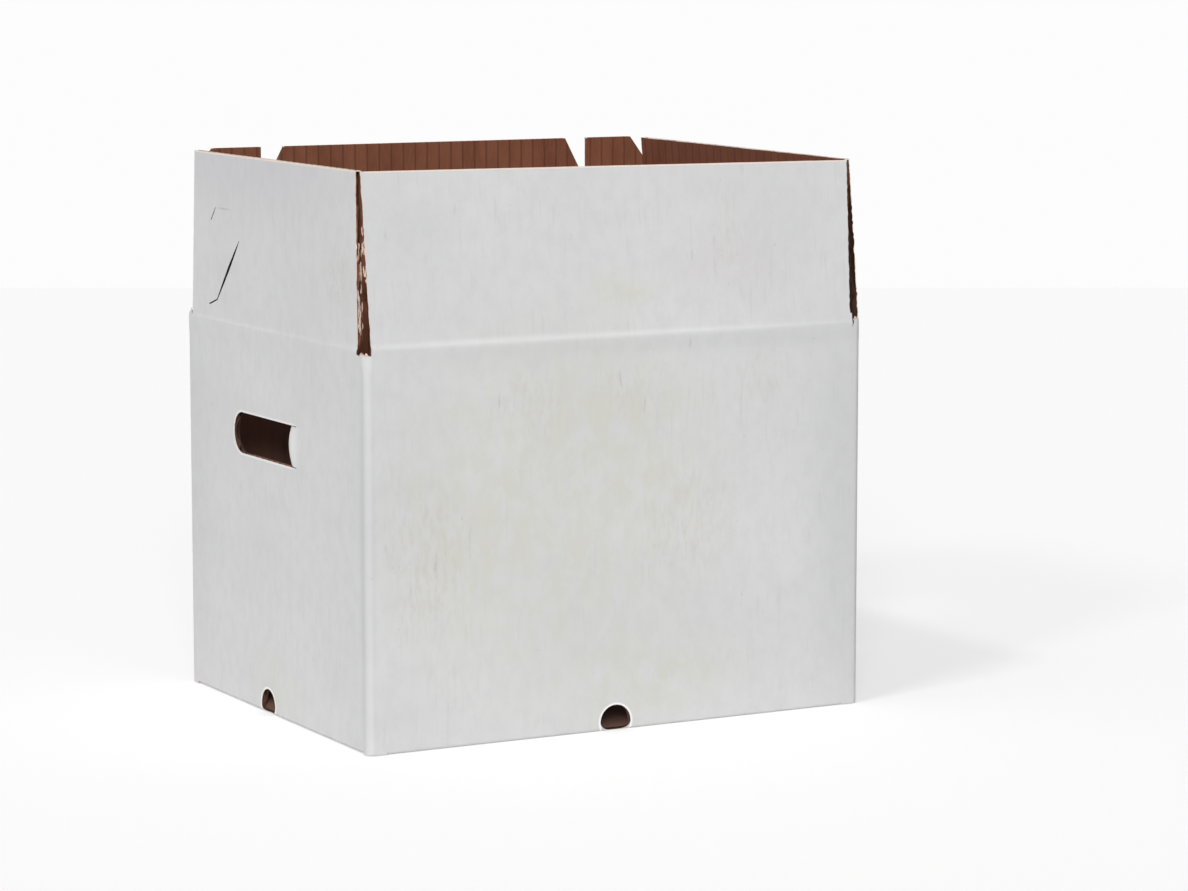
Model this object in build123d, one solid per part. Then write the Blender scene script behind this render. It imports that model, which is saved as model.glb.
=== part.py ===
from build123d import *
import os
from math import radians, sin, tan

# Cardboard vegetable box: one die-cut sheet of corrugated board, folded and glued.
# X runs along the long sides, -Y is the front and Z is up.
# The origin is the middle of the floor it stands on.

# Whole box
length = 325.0  # outside, end to end
width = 256.0  # outside, front to back
height = 232.0  # floor to the creases of the two long top flaps
board = 3.7  # thickness of the corrugated board
layer_gap = 0.3  # room between two layers of board that lie on each other
overrun = 5.0  # how far a cut reaches past the board

# Vertical folds and the glue lap inside the back right corner
corner_inside = 0.7  # inside radius of a vertical fold
lap_width = 34.0  # from the outside of the right wall to the end of the lap
lap_end_gap = 1.0  # the back wall stops this far short of the right wall's face
lap_low = 14.0
lap_top_drop = 12.0  # below the top slots
lap_taper = 6.0  # the lap's end is this much lower than its root

# Bottom folds and flaps
fold_inside = 0.5  # inside radius of a bottom fold
foot_gap = 0.6  # the end walls and the corners stop just above the floor
bottom_seam = 1.0  # between the two outer bottom flaps
inner_bottom_depth = 128.0  # end wall's face to the edge of an inner bottom flap
inner_bottom_gap = 2.4  # an inner bottom flap's sides to the front wall and to the lap
ramp_run = 11.0  # an inner bottom flap climbs over the outer ones within this run
ramp_clearance = 1.0  # from the top of the ramp to the ends of the outer flaps
ramp_radius = 8.0

# Vents punched across the bottom creases
vent_radius = 10.0
vent_rise = 5.0  # centre above the crease
long_vent_x = -4.0
end_vent_y = 11.0

# Hand holes in the end walls, with their tabs bent inward
hole_hinge_y = -33.0  # the uncut end, where the tab bends
hole_length = 90.5
hole_height = 24.6
hole_drop = 67.6  # long creases to the middle of the hole
tab_clearance = 0.5  # along the tab's cut edges
tab_bend_radius = 12.0  # outside of the tab's bend
tab_bend_angle = 155.0

# Top creases
crease_mitre_angle = 46.0  # each side of a crease is crushed back to this slope
crease_bead = 0.8  # the crease stands proud of the wall by this much
crease_gap = 0.25
slot_depth = 1.5  # the corner slots run this far below the lower creases

# Top flaps
flap_depth = 97.0  # long flap, crease to free edge
front_lean = 6.0  # degrees inward, as it stands open
long_flap_gap = 0.9  # a long flap's end to the end flap that stands beside it
slot_shift = 1.9  # the front flap's right end and the back flap's left end stop short by this much
end_flap_inset = 8.8  # an end flap's corners at its crease, from the long walls' faces
right_front_gap = 1.3  # but the right flap's front corner, from the front wall's inside
end_flap_gap = 1.2  # an end flap's free edge to the leaning front flap

# Back flap: ears at the ends, a broad tongue between two notches
ear_chamfer_run = 12.7
ear_chamfer_drop = 17.0
ear_width = 44.1  # flap's end to the notch
notch_width = 16.1  # at the free edge
notch_depth = 24.0
notch_floor = 3.4  # width of the notch's rounded floor

# Lock slit in an end flap: its front end meets the notch of the closed back flap
slit_width = 0.8
slit_overlap = 8.3  # the slit's front end past the floor of the notch
slit_bend_run = 34.0  # front end to the bend, towards the back
slit_bend_drop = 37.4  # front end to the bend, towards the crease
slit_hook_run = 12.0
slit_hook_drop = 3.5
upper_slit_inset = 39.5  # lower end, from the back wall's face
upper_slit_rise = 60.6  # lower end, above the crease
upper_slit_run = 7.3
upper_slit_climb = 8.0

# Worked out
half_length = length / 2
half_width = width / 2
half_board = board / 2
corner_radius = board + corner_inside
fold_radius = board + fold_inside
crease_step = board + layer_gap  # the end flaps fold in first, under the long ones
end_height = height - crease_step
slot_floor = end_height - slot_depth
end_flap_depth = flap_depth + crease_step  # the sheet's top edge is straight
mitre_slope = tan(radians(crease_mitre_angle))
lap_face = half_width - crease_step  # outside of the lap, against the back wall
bottom_slot = ramp_run + ramp_clearance  # end walls' faces to the ends of the outer bottom flaps
inner_bottom_front_inset = board + inner_bottom_gap
inner_bottom_back_inset = crease_step + board + inner_bottom_gap
hole_middle_z = height - hole_drop
long_flap_inset = board + long_flap_gap  # a long flap's end, from the end wall's face
long_flap_low = -half_length + long_flap_inset  # a long flap's ends, along its own wall
long_flap_high = half_length - long_flap_inset - slot_shift
right_front_inset = board + right_front_gap
end_free_inset = board + end_flap_gap + flap_depth * sin(radians(front_lean))  # at the free edge
notch_floor_height = flap_depth - notch_depth


def board_strip(points, radii):
    """Section of a folded strip of board along its middle line."""
    return trace(FilletPolyline(*points, radius=radii), board)


def box_between(low, high):
    """Block between two opposite corners."""
    size = [b - a for a, b in zip(low, high)]
    return Pos(*low) * Box(*size, align=(Align.MIN, Align.MIN, Align.MIN))


def prism_along_x(sketch, start, end):
    """Sketch in Y and Z, drawn out along X from start to end."""
    return extrude(Plane.YZ.offset(start) * sketch, end - start, dir=(1, 0, 0))


def prism_along_y(sketch, start, end):
    """Sketch in X and Z, drawn out along Y from start to end."""
    return extrude(Plane.XZ.offset(-start) * sketch, end - start, dir=(0, 1, 0))


def wall_band():
    """The four walls and the glue lap: a strip of board bent round four vertical folds."""
    middle_x = half_length - half_board
    middle_y = half_width - half_board
    points = [
        (half_length - lap_end_gap, middle_y),
        (-middle_x, middle_y),
        (-middle_x, -middle_y),
        (middle_x, -middle_y),
        (middle_x, lap_face - half_board),
        (half_length - lap_width, lap_face - half_board),
    ]
    section = board_strip(points, corner_radius - half_board)
    band = Pos(0, 0, foot_gap) * extrude(section, height - foot_gap, dir=(0, 0, 1))
    return band - lap_trim()


def lap_trim():
    """What is cut off above and below the glue lap, on slanting lines."""
    root_x = half_length - corner_radius
    end_x = half_length - lap_width - overrun
    lap_high = slot_floor - lap_top_drop
    top = height + overrun
    above = Polygon(
        (root_x, lap_high), (root_x, top), (end_x, top), (end_x, lap_high - lap_taper), align=None
    )
    below = Polygon(
        (root_x, lap_low), (root_x, -overrun), (end_x, -overrun), (end_x, lap_low + lap_taper), align=None
    )
    inner_y = lap_face - board - overrun
    return prism_along_y(above + below, inner_y, lap_face + layer_gap / 2)


def long_bottom_flap():
    """Front wall's bottom fold with its outer bottom flap, as an L in Y and Z."""
    wall_y = -half_width + half_board
    points = [(wall_y, 2 * fold_radius), (wall_y, half_board), (-bottom_seam / 2, half_board)]
    section = board_strip(points, fold_radius - half_board)
    reach = half_length - bottom_slot
    return prism_along_x(section, -reach, reach)


def end_bottom_flap():
    """Left wall's bottom fold with its inner bottom flap, which climbs over the outer ones."""
    wall_x = -half_length + half_board
    upper_z = crease_step + half_board
    points = [
        (wall_x, foot_gap + 2 * fold_radius),
        (wall_x, foot_gap + half_board),
        (-half_length + ramp_run, upper_z),
        (-half_length + inner_bottom_depth, upper_z),
    ]
    section = board_strip(points, [fold_radius - half_board, ramp_radius])
    front = -half_width + inner_bottom_front_inset
    back = half_width - inner_bottom_back_inset
    return prism_along_y(section, front, back)


def long_vent():
    """Round hole across the front wall's bottom crease: one half in the wall, one in the bottom flap."""
    through_wall = Cylinder(vent_radius, 2 * fold_radius, rotation=(90, 0, 0))
    through_flap = Cylinder(vent_radius, 2 * fold_radius)
    in_wall = Pos(long_vent_x, -half_width, vent_rise) * through_wall
    return in_wall + Pos(long_vent_x, -half_width - vent_rise, 0) * through_flap


def end_vent():
    """The same hole across the left wall's bottom crease."""
    through_wall = Cylinder(vent_radius, 2 * fold_radius, rotation=(0, 90, 0))
    through_flap = Cylinder(vent_radius, 4 * fold_radius)
    in_wall = Pos(-half_length, end_vent_y, vent_rise) * through_wall
    return in_wall + Pos(-half_length - vent_rise, end_vent_y, 0) * through_flap


def hand_hole():
    """Opening in the left wall: straight along its long edges, round at its back end."""
    end_radius = hole_height / 2
    straight = hole_length - end_radius
    outline = Pos(hole_hinge_y, 0) * Rectangle(straight, hole_height, align=(Align.MIN, Align.CENTER))
    outline += Pos(hole_hinge_y + straight, 0) * Circle(end_radius)
    outline = Pos(0, hole_middle_z) * outline
    return prism_along_x(outline, -half_length - overrun, -half_length + board + overrun)


def hand_hole_tab():
    """The board cut free in the left hand hole, bent inward about the hole's front end."""
    middle_radius = tab_bend_radius - half_board
    root = (-half_length + half_board, hole_hinge_y - board)
    bend_start = (-half_length + half_board, hole_hinge_y)
    straight = Line(root, bend_start)
    bend = JernArc(start=bend_start, tangent=(0, 1), radius=middle_radius, arc_size=-tab_bend_angle)
    free_length = hole_length - bend.length
    free = Line(bend @ 1, (bend @ 1) + (bend % 1) * free_length)
    section = trace([straight, bend, free], board)
    tab_height = hole_height - 2 * tab_clearance
    tab = Pos(0, 0, hole_middle_z - tab_height / 2) * extrude(section, tab_height, dir=(0, 0, 1))
    tip = tab.faces().sort_by_distance((free @ 1) + (0, 0, hole_middle_z))[0]
    return fillet(tip.edges().filter_by(Axis.Z, reverse=True), tab_height / 2 - tab_clearance)


def crease_cut(outer, crest, low_end, high_end, prism):
    """What a crease takes off a wall's top: the crushed slope and room for the flap's rounded root."""
    inner = outer + board + overrun
    outside = outer - overrun
    above = height + overrun
    slope = Polygon(
        (outer, crest), (outside, crest), (outside, above), (inner, above),
        (inner, crest - (board + overrun) * mitre_slope), align=None,
    )
    root = Pos(outer, crest) * Circle(crease_bead + crease_gap)
    return prism(slope + root, low_end, high_end)


def corner_slots():
    """The slots between neighbouring top flaps, cut a little below the lower creases."""
    outside_x = half_length + overrun
    outside_y = half_width + overrun
    top = height + overrun
    back_y = half_width - end_flap_inset
    front_left = box_between((-outside_x, -outside_y, slot_floor), (long_flap_low, -back_y, top))
    front_right = box_between(
        (long_flap_high, -outside_y, slot_floor), (outside_x, -half_width + right_front_inset, top)
    )
    back_left = box_between((-outside_x, back_y, slot_floor), (-long_flap_high, outside_y, top))
    back_right = box_between((-long_flap_low, back_y, slot_floor), (outside_x, outside_y, top))
    return [front_left, front_right, back_left, back_right]


def carton_body():
    """Walls, glue lap, glued bottom, hand holes and vents, all from one sheet."""
    mirror_x = Plane.YZ
    mirror_y = Plane.XZ
    reach = half_length - bottom_slot
    fold_front = box_between(
        (-reach, -half_width - overrun, -overrun), (reach, -half_width + board, fold_radius)
    )
    end_front = -half_width + inner_bottom_front_inset
    end_back = half_width - inner_bottom_back_inset
    fold_left = box_between(
        (-half_length - overrun, end_front, -overrun), (-half_length + board, end_back, foot_gap + fold_radius)
    )
    fold_cuts = [fold_front, mirror(fold_front, mirror_y), fold_left, mirror(fold_left, mirror_x)]
    body = wall_band() - fold_cuts

    long_flap = long_bottom_flap()
    end_flap = end_bottom_flap()
    body += [long_flap, mirror(long_flap, mirror_y), end_flap, mirror(end_flap, mirror_x)]

    back_y = half_width - end_flap_inset
    long_crease = crease_cut(-half_width, height, long_flap_low, long_flap_high, prism_along_x)
    left_crease = crease_cut(-half_length, end_height, -back_y, back_y, prism_along_y)
    right_front_y = -half_width + right_front_inset
    right_crease = crease_cut(-half_length, end_height, right_front_y, back_y, prism_along_y)
    body -= [long_crease, Rot(0, 0, 180) * long_crease, left_crease, mirror(right_crease, mirror_x)]
    body -= corner_slots()

    openings = [long_vent(), mirror(long_vent(), mirror_y)]
    openings += [end_vent(), mirror(end_vent(), mirror_x), hand_hole(), mirror(hand_hole(), mirror_x)]
    body -= openings
    tab = hand_hole_tab()
    return body + [tab, mirror(tab, mirror_x)]


def upright_flap(outline, low_end, high_end):
    """Flap standing on its crease: outline in X and Z, outer face at Y = 0, the crease on the X axis."""
    flap = prism_along_y(outline, 0, board)
    reach = board + overrun
    root_slope = Polygon((0, 0), (reach, reach * mitre_slope), (reach, -overrun), (0, -overrun), align=None)
    flap -= prism_along_x(root_slope, low_end - overrun, high_end + overrun)
    bead = Cylinder(crease_bead, high_end - low_end, rotation=(0, 90, 0))
    return flap + Pos((low_end + high_end) / 2, 0, 0) * bead


def long_flap_outline():
    """Plain long flap."""
    return Polygon(
        (long_flap_low, 0), (long_flap_high, 0), (long_flap_high, flap_depth), (long_flap_low, flap_depth),
        align=None,
    )


def front_flap():
    """Plain long flap, leaning inward a little."""
    flap = upright_flap(long_flap_outline(), long_flap_low, long_flap_high)
    return Pos(0, -half_width, height) * Rot(-front_lean, 0, 0) * flap


def back_flap():
    """Long flap with a notch each side of its broad tongue and an ear outside each notch."""
    reach = half_length - long_flap_inset
    outline = long_flap_outline()
    chamfer_foot = flap_depth - ear_chamfer_drop
    ear_corner = reach - ear_chamfer_run
    ear_side = reach - ear_width
    tongue_corner = ear_side - notch_width
    for side in (-1, 1):
        ear_chamfer = Polygon(
            (side * ear_corner, flap_depth), (side * reach, chamfer_foot),
            (side * (reach + overrun), chamfer_foot), (side * (reach + overrun), flap_depth), align=None,
        )
        notch = Polygon(
            (side * ear_side, flap_depth + overrun), (side * ear_side, notch_floor_height),
            (side * (ear_side - notch_floor), notch_floor_height), (side * tongue_corner, flap_depth),
            (side * tongue_corner, flap_depth + overrun), align=None,
        )
        notch += Pos(side * (ear_side - notch_floor / 2), notch_floor_height) * Circle(notch_floor / 2)
        outline -= [ear_chamfer, notch]
    flap = upright_flap(outline, long_flap_low, long_flap_high)
    return Pos(0, half_width, height) * Rot(0, 0, 180) * flap


def end_flap(side, front_inset, back_free_inset):
    """End flap on the left (side -1) or right (side 1) wall, its lock slit towards the back."""
    front = -side * (half_width - front_inset)
    back = side * (half_width - end_flap_inset)
    front_free = -side * (half_width - end_free_inset)
    back_free = side * (half_width - back_free_inset)
    outline = Polygon(
        (front, 0), (back, 0), (back_free, end_flap_depth), (front_free, end_flap_depth), align=None
    )

    slit_front = notch_floor_height + slit_overlap
    slit_height = long_flap_inset + ear_width + notch_floor / 2
    slit_bend = slit_front - slit_bend_run
    bend_height = slit_height - slit_bend_drop
    main_slit = Polyline(
        (side * (half_width - slit_front), slit_height),
        (side * (half_width - slit_bend), bend_height),
        (side * (half_width - slit_bend + slit_hook_run), bend_height - slit_hook_drop),
    )
    upper_slit = Line(
        (side * (half_width - upper_slit_inset), upper_slit_rise),
        (side * (half_width - upper_slit_inset - upper_slit_run), upper_slit_rise + upper_slit_climb),
    )
    outline -= [trace(main_slit, slit_width), trace(upper_slit, slit_width)]
    flap = upright_flap(outline, min(front, back), max(front, back))
    return Pos(side * half_length, 0, end_height) * Rot(0, 0, side * 90) * flap


nodes = {
    "carton_body": carton_body(),
    "front_flap": front_flap(),
    "back_flap": back_flap(),
    "left_flap": end_flap(-1, end_flap_inset, end_free_inset),
    "right_flap": end_flap(1, right_front_inset, end_flap_inset),
}

os.makedirs("parts", exist_ok=True)
for name, shape in nodes.items():
    export_step(shape, f"parts/{name}.step")
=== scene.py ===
import math

import bpy
import numpy as np
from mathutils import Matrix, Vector
from mathutils.geometry import delaunay_2d_cdt


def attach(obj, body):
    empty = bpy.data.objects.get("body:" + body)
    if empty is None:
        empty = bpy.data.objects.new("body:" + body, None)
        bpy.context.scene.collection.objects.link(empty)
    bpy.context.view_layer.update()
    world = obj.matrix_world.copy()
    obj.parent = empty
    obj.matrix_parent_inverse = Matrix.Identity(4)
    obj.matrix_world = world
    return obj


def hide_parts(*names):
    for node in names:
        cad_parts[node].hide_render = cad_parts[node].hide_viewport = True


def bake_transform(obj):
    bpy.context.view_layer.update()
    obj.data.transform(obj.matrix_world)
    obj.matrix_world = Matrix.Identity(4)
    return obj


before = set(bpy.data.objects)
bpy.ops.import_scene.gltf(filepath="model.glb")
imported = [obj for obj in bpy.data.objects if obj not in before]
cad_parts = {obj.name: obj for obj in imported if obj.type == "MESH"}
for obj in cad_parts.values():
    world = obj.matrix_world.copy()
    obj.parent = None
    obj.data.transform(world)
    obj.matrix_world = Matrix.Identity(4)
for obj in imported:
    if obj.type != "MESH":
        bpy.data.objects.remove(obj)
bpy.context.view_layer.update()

# The box is cut from one flat sheet and folded. Sheet places are in millimetres: u runs along the walls
# from the back wall's free end, v is the height that a point would have on a wall, and w is the depth
# from the outer face.
MM = 0.001
TINY = 1e-9
RNG = np.random.default_rng(11)

# Whole box, as in the part's source
length = 325.0
width = 256.0
height = 232.0
board = 3.7
layer_gap = 0.3
corner_radius = 4.4
lap_width = 34.0
lap_end_gap = 1.0
lap_low = 14.0
lap_top_drop = 12.0
lap_taper = 6.0
foot_gap = 0.6
bottom_seam = 1.0
bottom_slot = 12.0
inner_bottom_depth = 128.0
inner_bottom_front = -121.9
inner_bottom_back = 117.9
ramp_run = 11.0
ramp_radius = 8.0
vent_radius = 10.0
vent_rise = 5.0
long_vent_x = -4.0
end_vent_y = 11.0
hole_hinge_y = -33.0
hole_length = 90.5
hole_height = 24.6
hole_middle = 164.4
tab_clearance = 0.5
slot_floor = 226.5
flap_depth = 97.0
front_lean = 6.0
long_flap_inset = 4.6
slot_shift = 1.9
end_flap_inset = 8.8
right_front_inset = 5.0
end_free_inset = 15.04
ear_chamfer_run = 12.7
ear_chamfer_drop = 17.0
ear_width = 44.1
notch_width = 16.1
notch_depth = 24.0
notch_floor = 3.4
slit_width = 0.9
main_slit = [(81.3, 50.4), (47.3, 13.0), (35.3, 9.5)]  # from the back wall's face, above the crease
upper_slit = [(46.8, 68.6), (39.5, 60.6)]

# What only shows in the looks
liner = 0.4
paper = 0.3
flute_pitch = 8.3
fold_slit = 0.1  # half the cut between a bottom flap and the corner beside it
fold_zone_top = 20.0  # below this height the sheet follows a bottom fold
fold_outside = 2.0  # outside radius of a bottom fold
fold_web = 1.6  # what is left of the board inside a bottom fold
fold_web_slope = 0.65
crease_bead = 0.78
crease_web = 0.6  # what is left of the board at the bottom of a crease
crease_web_run = 1.2
crease_web_slope = 0.5
ridge_below = 14.0
ridge_above = 2.5
ridge_mean = 0.74  # share of the bead, before its waves
ridge_waves = [(0.16, 31.0, 0.9), (0.1, 9.7, 0.0)]  # share, millimetres to a radian, phase
long_crest_drop = 1.9  # a long flap's crease shows this much below its hinge line
lean_rise = (-1.5, 3.0)  # a flap takes up its lean between these heights
strip_top = 4.0  # how far a crease strip reaches up its flap
tab_bends = [(24.0, 24.0), (9.0, 131.0)]  # radius and degrees: slack at the hinge, then tight
tab_bulge = 5.0  # how much later the tab's middle bends than its cut edges
left_edge_insets = (10.3, 11.7)  # front edge of the left flap, at its crease and at its top
right_edge_insets = (3.1, 13.0)  # the same for the right flap
front_liner_reach = (-159.2, -160.2, 154.9, 157.6)  # torn liner: left low, left top, right low, right top
right_slot_rises = (5.5, 5.5)  # the corner stays uncut this much higher, at the slot's two ends
back_slot_rises = (6.5, -0.5)
right_twist = (0.5, 5.0)  # degrees that the right flap leans in at its front and back end
front_top_drop = 2.4  # the front flap's free edge runs down to the right by this much
right_top_drop = 2.6  # the same for the right flap, to the front
slit_gape = 2.5  # width of the main lock slit at its widest
gape_places = (0.0, 0.2, 0.45, 0.7, 1.0)  # shares of its first run
gape_widths = (0.7, 1.0, 0.8)  # shares of the gape at the inner ones of these places

# Worn and torn edges
worn_from = strip_top + 1.0  # a flap's side edges are worn from here up
side_step = 2.2  # distance between the points of a worn side edge
torn_step = 1.7  # the same for the front flap's left edge
top_step = 9.0
top_wear = 0.1  # how far a top edge wanders in
back_wear = 0.25  # the same for an end flap's back edge
front_wear = 0.4
front_liner_wear = 0.5
left_wear = (side_step, 0.5)  # step and wear of its front edge
right_wear = (1.3, 0.6)
tear_step = 1.1  # distance between the points of a slot's torn floor
tear_heights = (-0.5, 1.0)
tooth_root = 0.6  # how deep a torn tooth stands in a slot's floor
tooth_margin = 1.0  # clear of a slot's ends
tooth_half_widths = (0.5, 1.3)
tooth_heights = (1.2, 2.8)
tooth_depths = (0.0, board - 0.3)
tooth_paper = 0.25
fibre_root = 0.5
fibre_lengths = (2.0, 8.0)
fibre_reaches = (0.4, 1.0)
fibre_depths = (0.05, board - 0.35)
fibre_paper = 0.2

# Paper along a cut top edge: height, gap below the edge, outer and inner depth
pressed_edge = (0.6, 0.08, 0.1, board - 0.1)
# pale strip just proud of the outer face below the top edge: partly the edge's own cream, partly painted
# highlight of the lit edge
top_edge_highlight_strip = (1.0, 0.05, -0.04, 0.2)

# Mesh
flute_steps = 8  # points along one flute
corner_steps = 11
fold_steps = 9
tab_steps = 41
round_end = (-84, 84)  # degrees of a hand hole's back end, between its straight sides
tab_rows = np.linspace(-0.4, 0.4, 9)  # shares of the hole's height
flap_rows = range(16, 90, 16)  # heights above the crease
strip_rows = [*np.arange(-5.0, -1.3, 0.75), *np.arange(-1.2, 1.3, 0.3), *np.arange(1.75, 6.0, 0.75)]
ridge_rows_from = 214.0
ridge_row_step = 1.2
overrun = 1.0  # grid lines run this far past an outline
row_margin = 0.1  # no row lies closer than this to a strip's foot
weld_distance = 1e-5
slit_margin = 0.01
sharp_angle = 35.0

half_length = length / 2
half_width = width / 2
half_board = board / 2
crease_step = board + layer_gap
end_height = height - crease_step
end_flap_depth = flap_depth + crease_step
long_flap_low = -half_length + long_flap_inset
long_flap_high = half_length - long_flap_inset - slot_shift
end_reach = half_width - end_flap_inset
ear_side = half_length - long_flap_inset - ear_width
ear_end = half_length - long_flap_inset - ear_chamfer_run
tongue_side = ear_side - notch_width
BACK, LEFT, FRONT, RIGHT, LAP = range(5)
WHITE, KRAFT, RIM, CUT = range(4)
vents = [(BACK, long_vent_x), (FRONT, long_vent_x), (LEFT, end_vent_y), (RIGHT, end_vent_y)]
hole_walls = {-1: LEFT, 1: RIGHT}


def add_object(name, data):
    obj = bpy.data.objects.new(name, data)
    bpy.context.scene.collection.objects.link(obj)
    return obj


def span(loop):
    """Lowest and highest u of a loop."""
    return min(p[0] for p in loop), max(p[0] for p in loop)


def smooth(low, high, x):
    t = np.clip((x - low) / (high - low), 0.0, 1.0)
    return t * t * (3 - 2 * t)


class FoldedLine:
    """Line of folded board in a plane: straight runs and arcs, each (length, turn in degrees)."""

    def __init__(self, start, heading, parts):
        self.origins = []
        self.headings = []
        self.rates = []
        self.starts = []
        self.length = 0.0
        point = np.array(start, float)
        angle = math.radians(heading)
        for size, turn in parts:
            rate = math.radians(turn) / size
            self.origins.append(point)
            self.headings.append(angle)
            self.rates.append(rate)
            self.starts.append(self.length)
            x, y, _, _ = self.at(self.length + size)
            point = np.array([x, y], float)
            angle += rate * size
            self.length += size

    def at(self, distance):
        """Place and direction at a distance along the line: x, y and the direction's x, y."""
        distance = np.asarray(distance, float)
        index = np.clip(np.searchsorted(self.starts, distance, side="right") - 1, 0, None)
        origin = np.array(self.origins)[index]
        angle = np.array(self.headings)[index]
        rate = np.array(self.rates)[index]
        along = distance - np.array(self.starts)[index]
        turned = angle + rate * along
        bent = np.abs(rate) > TINY
        safe = np.where(bent, rate, 1.0)
        x = np.where(bent, (np.sin(turned) - np.sin(angle)) / safe, along * np.cos(angle))
        y = np.where(bent, (np.cos(angle) - np.cos(turned)) / safe, along * np.sin(angle))
        return origin[..., 0] + x, origin[..., 1] + y, np.cos(turned), np.sin(turned)

    def bends(self):
        """Start and end of each arc."""
        ends = self.starts[1:] + [self.length]
        return [(a, b) for a, b, rate in zip(self.starts, ends, self.rates) if rate]


def folded_through(points, radii):
    """Line through corner points, each corner rounded by its radius."""
    points = [np.array(p, float) for p in points]
    steps = [b - a for a, b in zip(points, points[1:])]
    angles = [math.atan2(s[1], s[0]) for s in steps]
    parts = []
    trimmed = 0.0
    for i, radius in enumerate(radii):
        turn = (angles[i + 1] - angles[i] + math.pi) % (2 * math.pi) - math.pi
        tangent = radius * math.tan(abs(turn) / 2)
        parts.append((np.linalg.norm(steps[i]) - trimmed - tangent, 0.0))
        parts.append((radius * abs(turn), math.degrees(turn)))
        trimmed = tangent
    parts.append((np.linalg.norm(steps[-1]) - trimmed, 0.0))
    return FoldedLine(points[0], math.degrees(angles[0]), parts)


middle_x = half_length - half_board
middle_y = half_width - half_board
lap_y = half_width - crease_step - half_board
wall_line = folded_through(
    [(half_length - lap_end_gap, middle_y), (-middle_x, middle_y), (-middle_x, -middle_y),
     (middle_x, -middle_y), (middle_x, lap_y), (half_length - lap_width, lap_y)],
    [corner_radius - half_board] * 4,
)

# Outer face of a wall and its bottom flap, in and up from the foot of the wall
ramp_slope = math.atan2(crease_step - foot_gap, ramp_run - half_board)
ramp_foot = foot_gap + half_board * (1 - math.tan(ramp_slope) - 1 / math.cos(ramp_slope))
ramp_end = (crease_step - ramp_foot) / math.tan(ramp_slope)
long_profile = folded_through([(0, height), (0, 0), (half_width - bottom_seam / 2, 0)], [fold_outside])
end_profile = folded_through(
    [(0, height), (0, ramp_foot), (ramp_end, crease_step), (inner_bottom_depth, crease_step)],
    [fold_outside, ramp_radius],
)


def along_wall(wall, place):
    """Sheet distance of a place on a wall, given its X on a long wall or the lap, its Y on an end wall."""
    start = wall_line.starts[2 * wall]
    x, y, dx, dy = wall_line.at(start)
    if abs(dx) > abs(dy):
        return float(start + (place - x) * dx)
    return float(start + (place - y) * dy)


long_reach = half_length - bottom_slot
bottom_flaps = [
    (BACK, long_reach, -long_reach, long_profile),
    (LEFT, inner_bottom_back, inner_bottom_front, end_profile),
    (FRONT, -long_reach, long_reach, long_profile),
    (RIGHT, inner_bottom_front, inner_bottom_back, end_profile),
]
fold_zones = [(along_wall(wall, a), along_wall(wall, b), profile) for wall, a, b, profile in bottom_flaps]

# Corner slots between two flaps, as their low and high u
back_slot = (along_wall(BACK, -long_flap_high), along_wall(LEFT, end_reach))
left_slot = (along_wall(LEFT, -end_reach), along_wall(FRONT, front_liner_reach[0]))
right_slot = (along_wall(FRONT, long_flap_high), along_wall(RIGHT, -half_width + right_front_inset))


def squeezed(depth, above):
    """Depth in the board where a crease has crushed it."""
    beyond = np.maximum(np.abs(above) - crease_web_run, 0.0)
    left = np.minimum(crease_web + crease_web_slope * beyond, board)
    return depth * left / board


def squeezed_in_fold(depth, profile, distance):
    """Depth in the board where a bottom fold has crushed it."""
    start, end = profile.bends()[0]
    beyond = np.maximum(np.maximum(start - distance, distance - end), 0.0)
    return depth * np.minimum(fold_web + fold_web_slope * beyond, board) / board


def ridge(u, above):
    """How far the crease stands proud of the wall: slow rise below, quick fall above, uneven along it."""
    uneven = ridge_mean
    for share, run, phase in ridge_waves:
        uneven = uneven + share * np.sin(u / run + phase)
    shape = np.where(above < 0, smooth(-ridge_below, 0.0, above), 1 - smooth(0.0, ridge_above, above))
    return crease_bead * uneven * shape


def place_walls(u, v, w):
    """Walls, glue lap and bottom flaps in the folded box."""
    x, y, dx, dy = wall_line.at(u)
    out_x = dy
    out_y = -dx
    above = v - (height - crease_step * out_x ** 2)
    inward = np.zeros_like(u)
    z = np.array(v, float)
    run = np.zeros_like(u)
    fall = -np.ones_like(u)
    depth = squeezed(w, above)
    for low, high, profile in fold_zones:
        here = (u > low) & (u < high) & (v < fold_zone_top)
        distance = height - v[here]
        inward[here], z[here], run[here], fall[here] = profile.at(distance)
        depth[here] = squeezed_in_fold(depth[here], profile, distance)
    crest = long_crest_drop * out_y ** 2
    proud = ridge(u, above + crest) * (1 - (2 * out_x * out_y) ** 2)
    inward = inward + fall * (proud - depth) - half_board
    z = z - run * (proud - depth)
    return np.stack([x - out_x * inward, y - out_y * inward, z], axis=-1)


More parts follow.
